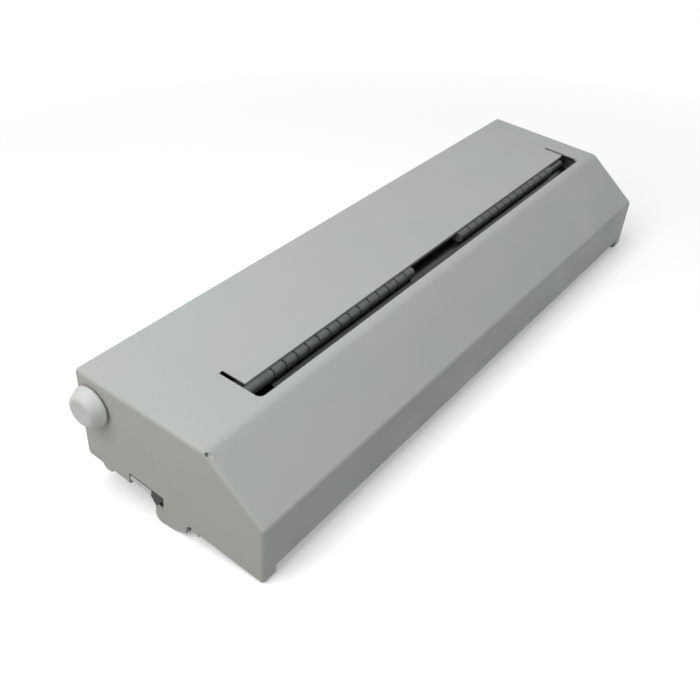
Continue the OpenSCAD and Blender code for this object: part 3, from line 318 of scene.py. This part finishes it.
def housing_plastic():
    """Grey moulded housing with a fine spark texture, and painted shade on its inner faces."""
    material, tree, shader = new_material("housing_plastic")
    where = object_coordinates(tree)
    hue = noise(tree, where, per_mm=0.021, detail=2)
    cool, painted_warm_light = (ramp(tree, hue, *map(linear, tints), 0.35, 0.65)
                  for tints in (COVER_TINTS, END_PAINTED_LIGHT_TINTS))
    # Painted light: the end panels take the warmer, darker pair
    tint = blended(tree, near_the_ends(tree, where), cool, painted_warm_light)
    speckle = noise(tree, where, per_mm=2.2, detail=2)
    shades = ramp(tree, speckle, *SPECKLE_SHADES, 0.3, 0.6)
    plastic = blended(tree, 1.0, tint, shades, "MULTIPLY")
    # Painted shade: the inner faces, below the outer skin, are darkened to the dark pair
    inner_shade = ramp(tree, speckle, *map(linear, INNER_SHADE_TINTS))
    inner_shade_mask = spread(tree, depth_below_skin(tree, where), 0, 1, INNER_SHADE_BEGINS, INNER_SHADE_FULL)
    link(tree, blended(tree, inner_shade_mask, plastic, inner_shade), shader.inputs["Base Color"])
    rubbed = noise(tree, where, per_mm=0.05, detail=4)
    link(tree, spread(tree, rubbed, 0.50, 0.64, 0.35, 0.65), shader.inputs["Roughness"])
    spark = noise(tree, where, per_mm=3.4, detail=3, rough=0.65)
    bump(tree, shader, spark, depth_mm=0.022)
    shader.inputs["Specular IOR Level"].default_value = 0.35
    return material


# ---------------------------------------------------------------- finish of each slot

MATERIALS = {
    "housing": housing_plastic(),
    # Painted shade: the tray's dark colour stands in for the shade under the housing, along the
    # front recess and inside the release notch
    "tray": mottled(
        "tray_dark_painted_shade", (0.17, 0.18, 0.18), (0.23, 0.24, 0.24),
        patch_per_mm=0.08, rough=(0.5, 0.65), grain_per_mm=3.4, grain_mm=0.02),
    "pad": mottled(
        "pad_rubber", (0.13, 0.13, 0.14), (0.19, 0.19, 0.20),
        patch_per_mm=0.2, rough=(0.75, 0.9), grain_per_mm=2.5, grain_mm=0.06),
    "steel": brushed(
        "frame_steel", (0.56, 0.58, 0.60), (0.68, 0.70, 0.71), along="Y", rough=(0.32, 0.48)),
    "screw": brushed(
        "screw_zinc", (0.50, 0.51, 0.53), (0.66, 0.67, 0.68), along="Z", rough=(0.25, 0.4)),
    "guide": mottled(
        "guide_plastic", (0.31, 0.33, 0.33), (0.39, 0.41, 0.41),
        patch_per_mm=0.35, rough=(0.42, 0.6), grain_per_mm=3.0, grain_mm=0.03),
    "chute": brushed(
        "chute_sheet", (0.44, 0.46, 0.47), (0.54, 0.56, 0.57), along="X", rough=(0.4, 0.55),
        metallic=0.6),
    "bush": mottled(
        "bush_graphite", (0.12, 0.12, 0.13), (0.18, 0.18, 0.19),
        patch_per_mm=0.5, rough=(0.4, 0.55), grain_per_mm=4.0, grain_mm=0.02),
    "shaft": brushed(
        "shaft_steel", (0.66, 0.67, 0.69), (0.80, 0.81, 0.83), along="Y", rough=(0.18, 0.3)),
    "platen": platen_rubber(),
    "gear": mottled(
        "gear_acetal", (0.84, 0.83, 0.78), (0.90, 0.90, 0.86),
        patch_per_mm=0.1, rough=(0.32, 0.45), grain_per_mm=2.0, grain_mm=0.01,
        Subsurface_Weight=0.1),
    "brass": mottled(
        "pinion_brass", (0.72, 0.57, 0.28), (0.84, 0.70, 0.40),
        patch_per_mm=0.4, rough=(0.25, 0.38), grain_per_mm=4.0, grain_mm=0.01,
        Metallic=1.0),
    "clip": mottled(
        "spring_steel", (0.16, 0.16, 0.17), (0.26, 0.26, 0.28),
        patch_per_mm=0.6, rough=(0.35, 0.5), grain_per_mm=4.0, grain_mm=0.01,
        Metallic=0.8),
    "can": brushed(
        "can_zinc", (0.58, 0.59, 0.58), (0.72, 0.73, 0.71), along="X", rough=(0.28, 0.42)),
    "knob": mottled(
        "knob_plastic", (0.785, 0.79, 0.775), (0.825, 0.83, 0.815),
        patch_per_mm=0.12, rough=(0.45, 0.6), grain_per_mm=2.4, grain_mm=0.012,
        Subsurface_Weight=0.08),
    "sink": brushed(
        "sink_aluminium", (0.64, 0.65, 0.67), (0.78, 0.79, 0.81), along="X", rough=(0.3, 0.42)),
    "ceramic": mottled(
        "head_ceramic", (0.84, 0.82, 0.76), (0.91, 0.90, 0.85),
        patch_per_mm=0.2, rough=(0.12, 0.25), grain_per_mm=2.0, grain_mm=0.006),
    "board": board_lacquer("board_lacquer", (0.08, 0.30, 0.18), (0.20, 0.44, 0.27)),
    "chip": mottled(
        "chip_epoxy", (0.08, 0.08, 0.09), (0.14, 0.14, 0.15),
        patch_per_mm=0.3, rough=(0.5, 0.7), grain_per_mm=5.0, grain_mm=0.02),
    "spring": brushed(
        "spring_wire", (0.60, 0.62, 0.64), (0.76, 0.78, 0.80), along="Y", rough=(0.2, 0.34)),
    "socket": mottled(
        "socket_plastic", (0.17, 0.18, 0.19), (0.24, 0.25, 0.26),
        patch_per_mm=0.2, rough=(0.42, 0.58), grain_per_mm=3.0, grain_mm=0.02),
    "cell": mottled(
        "cell_sleeve", (0.13, 0.33, 0.46), (0.20, 0.42, 0.55),
        patch_per_mm=0.1, rough=(0.2, 0.34), grain_per_mm=1.5, grain_mm=0.01),
}


def dress_nodes():
    """Gives each CAD node the procedural material of its slot."""
    for row in RECORD["subparts"]:
        node = NODES[row["node"]]
        for slot in node.material_slots:
            slot.material = MATERIALS[row["material_slot"]]


# ---------------------------------------------------------------- pieces from CAD nodes

# Rounded edges of the nodes in view: radius in millimetres and number of facets
SOFT_EDGES = {
    "cover_shell": (0.4, 3),
    "base_tray": (0.6, 3),
    "guide_left": (0.3, 3),
    "guide_right": (0.3, 3),
    "release_slider": (0.2, 3),
    "patient_socket": (0.2, 2),
    "power_jack": (0.2, 2),
    "data_socket": (0.2, 2),
}

# Points this close are one, faces this flat are one, and edges sharper than this are rounded
WELD_MM = 0.002
FLAT_ANGLE = math.radians(0.3)
SHARP_ANGLE = math.radians(38)


def body_of(node):
    for body, nodes in RECORD["behaviour"]["bodies"].items():
        if node in nodes:
            return body
    raise KeyError(node)


def slot_of(node):
    return next(row["material_slot"] for row in RECORD["subparts"] if row["node"] == node)


def finish_piece(piece, body, slot):
    piece.data.materials.clear()
    piece.data.materials.append(MATERIALS[slot])
    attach(piece, body)
    return piece


def copied(node):
    piece = NODES[node].copy()
    piece.data = NODES[node].data.copy()
    piece.name = node + "_finished"
    bpy.context.scene.collection.objects.link(piece)
    return piece


def softened(node, edge_mm, facets):
    """A copy of a CAD node with its sharp edges rounded and its round faces shaded smooth."""
    piece = copied(node)
    mesh = bmesh.new()
    mesh.from_mesh(piece.data)
    bmesh.ops.remove_doubles(mesh, verts=mesh.verts, dist=WELD_MM * MM)
    bmesh.ops.dissolve_limit(mesh, angle_limit=FLAT_ANGLE, verts=mesh.verts, edges=mesh.edges)
    mesh.to_mesh(piece.data)
    mesh.free()
    baked_normals = piece.data.attributes.get("custom_normal")
    if baked_normals:
        piece.data.attributes.remove(baked_normals)
    piece.data.shade_smooth()
    rounding = piece.modifiers.new("edges", "BEVEL")
    rounding.width = edge_mm * MM
    rounding.segments = facets
    rounding.limit_method = "ANGLE"
    rounding.angle_limit = SHARP_ANGLE
    rounding.use_clamp_overlap = True
    rounding.harden_normals = True
    finish_piece(piece, body_of(node), slot_of(node))
    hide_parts(node)


def soften_visible():
    for node, (edge_mm, facets) in SOFT_EDGES.items():
        softened(node, edge_mm, facets)


def make_springs():
    """Coil springs of the print head: a copy of the CAD node, shaded smooth."""
    coils = copied("head_springs")
    coils.data.shade_smooth()
    finish_piece(coils, body_of("head_springs"), slot_of("head_springs"))
    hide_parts("head_springs")
    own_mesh(coils)


# ---------------------------------------------------------------- turned and tubular pieces

# Edges sharper than this stay sharp in the shading
CREASE_ANGLE = math.radians(40)

# Straight steps in one rounded corner of a turned profile
CORNER_STEPS = 8

# A direction that no turned piece's axis has, from which its seam is found
SEAM_HINT = Vector((0.3, 0.5, 0.8))

# Radius in millimetres at which a turned profile counts as closed on its axis
CLOSED = 0.05

# Feed knob, in millimetres
KNOB_BORE = 2.1        # radius at which its foot meets the shaft
KNOB_HEEL = 0.1        # how much less the foot's radius is than the rim's
KNOB_WIDEST_AT = 0.9   # height of the rim above the foot
KNOB_TAPER = 2.2       # how much less the face's radius is than the rim's
KNOB_LAND = 2.4        # width of the ring between the face's edge and the dish
KNOB_LAND_SINK = 0.15  # fall of that ring towards the dish
KNOB_DISH_SINK = 0.5   # depth of the dish in its middle

# Contacts of the patient socket, in millimetres: two rows, the lower one a contact shorter
CONTACTS = 8
CONTACT_PITCH = 2.2
CONTACT_RISE = 1.3     # of the upper row above the middle, and of the lower one below it
CONTACT_DEPTH = 3.6    # from the mouth in to their feet
CONTACT_OUTER = 0.57
CONTACT_INNER = 0.36
CONTACT_LENGTH = 3.3

# Pin of the power jack, in millimetres: (place along its axis from the mouth, radius, rounding)
POWER_PIN = [(-11.4, 1.0, 0), (-3.2, 1.0, 0.5), (-2.9, CLOSED, 0)]

# Wires of the data socket, in millimetres
WIRES = 8
WIRE_PITCH = 0.95
WIRE_RISE = 3.5        # of their feet above the middle
WIRE_DEPTH = 7.2       # from the mouth in to their feet
WIRE_LEAN = 0.28       # how far they drop for each millimetre towards the mouth
WIRE_OUTER = 0.2
WIRE_INNER = 0.02
WIRE_LENGTH = 5.6


def add_mesh(name, vertices, faces, body, slot):
    data = bpy.data.meshes.new(name)
    data.from_pydata([tuple(v) for v in vertices], [], faces)
    piece = bpy.data.objects.new(name, data)
    bpy.context.scene.collection.objects.link(piece)
    mesh = bmesh.new()
    mesh.from_mesh(data)
    bmesh.ops.recalc_face_normals(mesh, faces=mesh.faces)
    angles = [edge.calc_face_angle(0) for edge in mesh.edges]
    mesh.to_mesh(data)
    mesh.free()
    data.shade_smooth()
    for edge, angle in zip(data.edges, angles):
        edge.use_edge_sharp = angle > CREASE_ANGLE
    return finish_piece(piece, body, slot)


def rounded_line(points):
    """Corners (along, radius, rounding) joined by straight lines, each with its rounding."""
    line = []
    for k, (x, r, rounding) in enumerate(points):
        here = Vector((x, r))
        if rounding == 0 or k in (0, len(points) - 1):
            line.append(here)
            continue
        before = Vector(points[k - 1][:2]) - here
        after = Vector(points[k + 1][:2]) - here
        start = here + before.normalized() * rounding
        end = here + after.normalized() * rounding
        for step in range(CORNER_STEPS + 1):
            t = step / CORNER_STEPS
            line.append((1 - t) ** 2 * start + 2 * t * (1 - t) * here + t ** 2 * end)
    return line


def ring(base, axis, side, along, radius, around):
    """Points of a circle round an axis, in a plane at a distance along it in millimetres."""
    up = axis.cross(side)
    angles = (2 * math.pi * k / around for k in range(around))
    return [base + axis * along * MM
            + (side * math.cos(angle) + up * math.sin(angle)) * radius * MM for angle in angles]


def band(first, second, around):
    """Faces between two rings, given the number of each ring's first point."""
    following = [(k + 1) % around for k in range(around)]
    return [(first + k, first + n, second + n, second + k) for k, n in enumerate(following)]


def turned(name, centre, axis, profile, body, slot, around=96):
    """Turns a profile of (along the axis, radius) in millimetres about an axis."""
    axis = Vector(axis).normalized()
    side = axis.cross(SEAM_HINT).normalized()
    vertices, faces = [], []
    for along, radius in profile:
        vertices += ring(Vector(centre), axis, side, along, radius, around)
    for row in range(len(profile) - 1):
        faces += band(row * around, (row + 1) * around, around)
    return add_mesh(name, vertices, faces, body, slot)


def merged_tubes(name, tubes, body, slot, around):
    """Several open-ended tubes in one piece: (base, axis, outer, inner, length) in millimetres."""
    vertices, faces = [], []
    for base, axis, outer, inner, length in tubes:
        side = axis.cross(RIGHTWARD).normalized()
        first = len(vertices)
        corners = ((0, inner), (0, outer), (length, outer), (length, inner))
        for along, radius in corners:
            vertices += ring(base, axis, side, along, radius, around)
        for row in range(len(corners)):
            after = (row + 1) % len(corners)
            faces += band(first + row * around, first + after * around, around)
    return add_mesh(name, vertices, faces, body, slot)


def in_row(count):
    """Places of a row's members, in pitches to the right of its middle."""
    return [k - (count - 1) / 2 for k in range(count)]


def make_knob():
    """Feed knob: rounded rim, tapered side and a shallow dish in its face."""
    low, high = (Vector(corner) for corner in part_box("feed_knob"))
    length = (high.x - low.x) / MM
    rim = (high.z - low.z) / 2 / MM
    spin = Vector(JOINTS["knob_spin"]["pos_m"])
    face = rim - KNOB_TAPER
    profile = rounded_line([
        (0, KNOB_BORE, 0),
        (0, rim - KNOB_HEEL, 0.5),
        (KNOB_WIDEST_AT, rim, 0.6),
        (length, face, 1.7),
        (length - KNOB_LAND_SINK, face - KNOB_LAND, 0.8),
        (length - KNOB_DISH_SINK, CLOSED, 0)])
    knob = turned("feed_knob_turned", (high.x, spin.y, spin.z), (-1, 0, 0), profile,
                  "knob", "knob")
    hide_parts("feed_knob")


def make_contacts():
    """Metal contacts in the three sockets of the rear face."""
    mouth = Vector(MOUNTS["patient_lead_socket"]["pos_m"])
    tubes = []
    for count, rise in ((CONTACTS, CONTACT_RISE), (CONTACTS - 1, -CONTACT_RISE)):
        for place in in_row(count):
            base = mouth + (RIGHTWARD * (place * CONTACT_PITCH) + UPWARD * rise
                            - BACKWARD * CONTACT_DEPTH) * MM
            tubes.append((base, BACKWARD, CONTACT_OUTER, CONTACT_INNER, CONTACT_LENGTH))
    merged_tubes("patient_contacts", tubes, "housing", "brass", around=16)

    mouth = Vector(MOUNTS["power_inlet"]["pos_m"])
    turned("power_pin", mouth, BACKWARD, rounded_line(POWER_PIN), "housing", "shaft", around=32)

    mouth = Vector(MOUNTS["data_socket_mouth"]["pos_m"])
    lean = (BACKWARD - UPWARD * WIRE_LEAN).normalized()
    wires = []
    for place in in_row(WIRES):
        base = mouth + (RIGHTWARD * (place * WIRE_PITCH) + UPWARD * WIRE_RISE
                        - BACKWARD * WIRE_DEPTH) * MM
        wires.append((base, lean, WIRE_OUTER, WIRE_INNER, WIRE_LENGTH))
    merged_tubes("data_contacts", wires, "housing", "brass", around=12)


# ---------------------------------------------------------------- stage

# Floor: half its side in metres, its tone for light and as seen, and the glow that lifts it
FLOOR_REACH = 6.0
FLOOR_TONE = 0.48
FLOOR_SEEN = 1.0
FLOOR_LIFT = 0.26

# Distance in metres from the object's middle at which the seen floor begins to fade to even
# white, and at which it is white
FADE_FROM = 0.2
FADE_TO = 0.42

# Light: strength of the sky, and the softbox's watts, sides, place and lean about X and Y
SKY = 0.40
KEY_WATTS = 2.8
SOFTBOX = (0.8, 0.36)
SOFTBOX_AT = (-0.31, 0.05, 0.55)
SOFTBOX_LEAN = (-0.09, -0.53)

# Camera, found from the housing's edges in the photograph
CAMERA_AT = (-0.284888, -0.179972, 0.230713)
CAMERA_TURN = (0.961937, 0.00026, -0.933507)
FOCAL_MM = 45.473
SENSOR_MM = 36.0
CLIP_START = 0.01


def make_stage():
    r = FLOOR_REACH
    floor_mesh = bpy.data.meshes.new("floor")
    floor_mesh.from_pydata([(-r, -r, 0), (r, -r, 0), (r, r, 0), (-r, r, 0)], [], [(0, 1, 2, 3)])
    floor = bpy.data.objects.new("floor", floor_mesh)
    bpy.context.scene.collection.objects.link(floor)
    floor.data.materials.append(floor_material())


def ray_kinds(tree):
    """One output that is 1 for the camera's rays, and one for glossy and transmission rays."""
    path = tree.nodes.new("ShaderNodeLightPath")
    mirrored = calculated(tree, "MAXIMUM", path.outputs["Is Glossy Ray"],
                          path.outputs["Is Transmission Ray"])
    return path.outputs["Is Camera Ray"], mirrored


def floor_material():
    """Pale paper floor, seen as white, with the object's shadow on it and an even far part."""
    material, tree, shader = new_material("floor_paper")
    tree.nodes.remove(shader)
    camera, mirrored = ray_kinds(tree)
    diffuse = tree.nodes.new("ShaderNodeBsdfDiffuse")
    link(tree, spread(tree, camera, FLOOR_TONE, FLOOR_SEEN, 0, 1), diffuse.inputs["Color"])
    lift = tree.nodes.new("ShaderNodeEmission")
    link(tree, spread(tree, camera, 0, FLOOR_LIFT, 0, 1), lift.inputs["Strength"])
    near = tree.nodes.new("ShaderNodeAddShader")
    link(tree, diffuse.outputs[0], near.inputs[0])
    link(tree, lift.outputs[0], near.inputs[1])

    place = tree.nodes.new("ShaderNodeTexCoord")
    distance = tree.nodes.new("ShaderNodeVectorMath")
    distance.operation = "LENGTH"
    link(tree, place.outputs["Object"], distance.inputs[0])
    fade = spread(tree, distance.outputs["Value"], 0, 1, FADE_FROM, FADE_TO)
    even = calculated(tree, "MAXIMUM", calculated(tree, "MULTIPLY", fade, camera), mirrored)
    white = tree.nodes.new("ShaderNodeEmission")
    seen = mixed_shader(tree, even, near.outputs[0], white.outputs[0])
    link(tree, seen, tree.nodes["Material Output"].inputs["Surface"])
    return material


def make_world():
    """Even studio sky; the camera, gloss and glass see plain white in it."""
    world = bpy.data.worlds.new("studio")
    bpy.context.scene.world = world
    world.use_nodes = True
    tree = world.node_tree
    sky = tree.nodes["Background"]
    white = tree.nodes.new("ShaderNodeBackground")
    for background, strength in ((sky, SKY), (white, 1.0)):
        background.inputs["Color"].default_value = (1, 1, 1, 1)
        background.inputs["Strength"].default_value = strength
    camera, mirrored = ray_kinds(tree)
    plain = calculated(tree, "MAXIMUM", camera, mirrored)
    seen = mixed_shader(tree, plain, sky.outputs[0], white.outputs[0])
    link(tree, seen, tree.nodes["World Output"].inputs["Surface"])


def make_lights():
    """One long softbox close above the left half, so the far end lies in weaker light."""
    lamp = bpy.data.lights.new("softbox", "AREA")
    lamp.shape = "RECTANGLE"
    lamp.size, lamp.size_y = SOFTBOX
    lamp.energy = KEY_WATTS
    holder = bpy.data.objects.new("softbox", lamp)
    holder.location = SOFTBOX_AT
    holder.rotation_euler = (*SOFTBOX_LEAN, 0)
    holder.visible_camera = False
    bpy.context.scene.collection.objects.link(holder)


def make_camera():
    lens = bpy.data.cameras.new("camera")
    lens.lens = FOCAL_MM
    lens.sensor_width = SENSOR_MM
    lens.sensor_fit = "HORIZONTAL"
    lens.clip_start = CLIP_START
    holder = bpy.data.objects.new("camera", lens)
    holder.location = CAMERA_AT
    holder.rotation_euler = CAMERA_TURN
    bpy.context.scene.collection.objects.link(holder)
    bpy.context.scene.camera = holder


make_camera()
dress_nodes()
soften_visible()
make_springs()
make_knob()
make_contacts()
make_stage()
make_world()
make_lights()
bpy.context.scene.view_settings.view_transform = "Standard"
